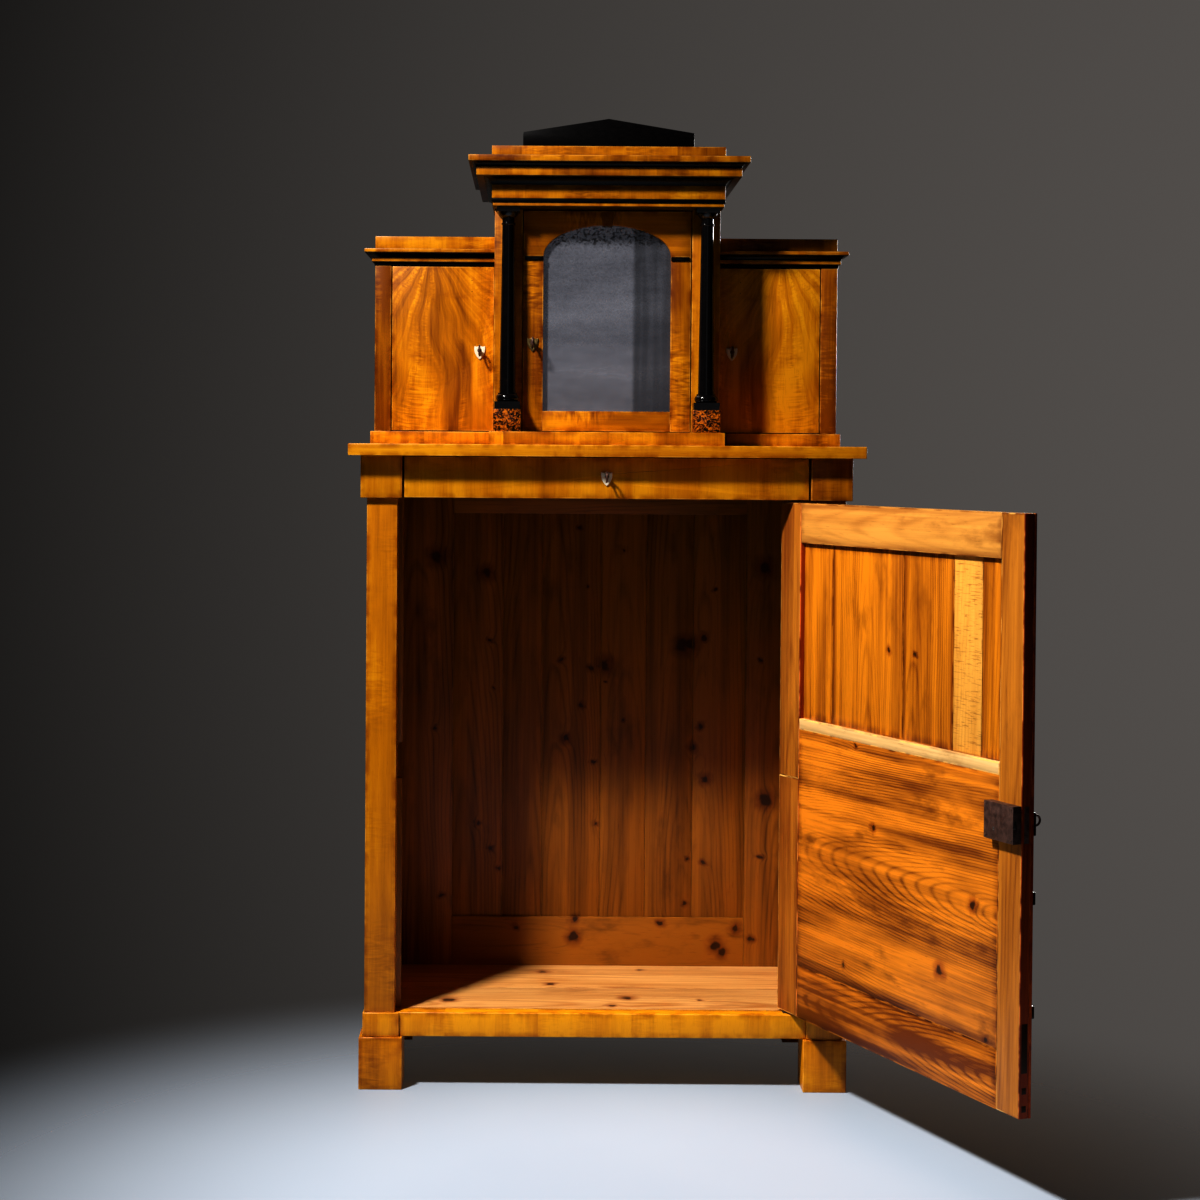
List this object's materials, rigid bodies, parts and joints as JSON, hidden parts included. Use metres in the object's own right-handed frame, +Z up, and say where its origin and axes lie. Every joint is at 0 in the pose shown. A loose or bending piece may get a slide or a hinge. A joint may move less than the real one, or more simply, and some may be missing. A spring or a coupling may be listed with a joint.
{
  "type": "cabinet",
  "caption": "Tall cupboard with a false secretary door and frieze drawer, carrying a small temple with wing doors and an arched mirror door between columns.",
  "frame": {"origin": "on the floor, under the middle of the carcass", "axes": "+Z up, -Y towards someone facing the front, +X to their right"},
  "size_m": [1.2592, 1.2022, 1.974],
  "materials": {
    "amber_veneer": "french-polished honey-coloured fruitwood veneer",
    "ebonised_wood": "black-stained and polished",
    "burl_veneer": "polished burl veneer",
    "dark_pine": "aged unpolished pine",
    "floor_pine": "aged pale pine boards",
    "door_pine": "aged waxed pine",
    "old_mirror": "old silvered glass with foxing",
    "dark_iron": "dark wrought iron",
    "bone": "polished bone",
    "brass": "dull brass"
  },
  "bodies": {
    "carcass": {"side_panels": "amber_veneer", "pilasters": "amber_veneer", "plinth_rail": "amber_veneer", "block_feet": "amber_veneer", "frieze_blocks": "amber_veneer", "top_slab": "amber_veneer", "upper_plinth": "amber_veneer", "wing_sides": "amber_veneer", "centre_sides": "amber_veneer", "wing_cornices": "amber_veneer", "entablature": "amber_veneer", "cornice_boards": "amber_veneer", "ebonised_mouldings": "ebonised_wood", "columns": "ebonised_wood", "pediment": "ebonised_wood", "burl_blocks": "burl_veneer", "back_frame": "dark_pine", "back_boards": "dark_pine", "upper_backs": "dark_pine", "pilaster_cleats": "dark_pine", "floor_cleats_and_drawer_guides": "dark_pine", "dust_board": "dark_pine", "floor_boards": "floor_pine", "hinge_pins": "dark_iron"},
    "main_door": {"door_stiles": "door_pine", "door_rails": "door_pine", "door_upper_boards": "door_pine", "door_lower_boards": "door_pine", "door_facing": "amber_veneer", "door_mouldings": "ebonised_wood", "door_hinge_plates": "dark_iron", "main_lock_case": "dark_iron", "main_escutcheon": "bone"},
    "drawer": {"drawer_front": "amber_veneer", "drawer_box": "dark_pine", "drawer_bottom": "dark_pine", "drawer_lock_case": "dark_iron", "drawer_escutcheon": "bone"},
    "left_wing_door": {"left_wing_door": "amber_veneer", "left_wing_lock_case": "dark_iron", "left_wing_escutcheon": "bone"},
    "right_wing_door": {"right_wing_door": "amber_veneer", "right_wing_lock_case": "dark_iron", "right_wing_escutcheon": "bone"},
    "centre_door": {"centre_door_frame": "amber_veneer", "centre_imposts": "ebonised_wood", "mirror_glass": "old_mirror", "mirror_back": "dark_pine", "centre_lock_case": "dark_iron", "centre_escutcheon": "brass"},
    "main_bolt": {"main_bolt": "dark_iron"},
    "main_key": {"main_key": "dark_iron"},
    "drawer_bolt": {"drawer_bolt": "dark_iron"},
    "drawer_key": {"drawer_key": "dark_iron"},
    "left_wing_bolt": {"left_wing_bolt": "dark_iron"},
    "left_wing_key": {"left_wing_key": "dark_iron"},
    "right_wing_bolt": {"right_wing_bolt": "dark_iron"},
    "right_wing_key": {"right_wing_key": "dark_iron"},
    "centre_bolt": {"centre_bolt": "dark_iron"},
    "centre_key": {"centre_key": "dark_iron"}
  },
  "joints": [
    {"name": "main_door_swing", "type": "hinge", "parent": "carcass", "child": "main_door", "pos_m": [0.388, -0.208, 0.155], "axis": [0, 0, 1], "range_deg": [-113.3, 6]},
    {"name": "drawer_slide", "type": "slide", "parent": "carcass", "child": "drawer", "axis": [0, -1, 0], "range_m": [0, 0.32]},
    {"name": "left_wing_swing", "type": "hinge", "parent": "carcass", "child": "left_wing_door", "pos_m": [-0.433, -0.0895, 1.3375], "axis": [0, 0, -1], "range_deg": [0, 110]},
    {"name": "right_wing_swing", "type": "hinge", "parent": "carcass", "child": "right_wing_door", "pos_m": [0.433, -0.0895, 1.3375], "axis": [0, 0, 1], "range_deg": [0, 110]},
    {"name": "centre_door_swing", "type": "hinge", "parent": "carcass", "child": "centre_door", "pos_m": [0.16, -0.1555, 1.3375], "axis": [0, 0, 1], "range_deg": [0, 90]},
    {"name": "main_key_turn", "type": "hinge", "parent": "main_door", "child": "main_key", "pos_m": [0.67696, -0.92193, 0.664], "axis": [0.9184, 0.3955, 0], "range_deg": [0, 180]},
    {"name": "main_bolt_slide", "type": "slide", "parent": "main_door", "child": "main_bolt", "axis": [0.3955, -0.9184, 0], "range_m": [0, 0.008]},
    {"name": "drawer_key_turn", "type": "hinge", "parent": "drawer", "child": "drawer_key", "pos_m": [0, -0.214, 1.247], "axis": [0, -1, 0], "range_deg": [0, 180]},
    {"name": "drawer_bolt_slide", "type": "slide", "parent": "drawer", "child": "drawer_bolt", "axis": [0, 0, 1], "range_m": [0, 0.008]},
    {"name": "left_wing_key_turn", "type": "hinge", "parent": "left_wing_door", "child": "left_wing_key", "pos_m": [-0.2625, -0.074, 1.5065], "axis": [0, -1, 0], "range_deg": [0, 180]},
    {"name": "left_wing_bolt_slide", "type": "slide", "parent": "left_wing_door", "child": "left_wing_bolt", "axis": [1, 0, 0], "range_m": [0, 0.008]},
    {"name": "right_wing_key_turn", "type": "hinge", "parent": "right_wing_door", "child": "right_wing_key", "pos_m": [0.2625, -0.074, 1.5065], "axis": [0, -1, 0], "range_deg": [0, 180]},
    {"name": "right_wing_bolt_slide", "type": "slide", "parent": "right_wing_door", "child": "right_wing_bolt", "axis": [-1, 0, 0], "range_m": [0, 0.008]},
    {"name": "centre_key_turn", "type": "hinge", "parent": "centre_door", "child": "centre_key", "pos_m": [-0.152, -0.138, 1.5205], "axis": [0, -1, 0], "range_deg": [0, 180]},
    {"name": "centre_bolt_slide", "type": "slide", "parent": "centre_door", "child": "centre_bolt", "axis": [-1, 0, 0], "range_m": [0, 0.008]}
  ],
  "couplings": [
    {"joint": "main_bolt_slide", "follows": "main_key_turn", "m_per_rad": 0.0025},
    {"joint": "drawer_bolt_slide", "follows": "drawer_key_turn", "m_per_rad": 0.0025},
    {"joint": "left_wing_bolt_slide", "follows": "left_wing_key_turn", "m_per_rad": 0.0025},
    {"joint": "right_wing_bolt_slide", "follows": "right_wing_key_turn", "m_per_rad": 0.0025},
    {"joint": "centre_bolt_slide", "follows": "centre_key_turn", "m_per_rad": 0.0025}
  ]
}
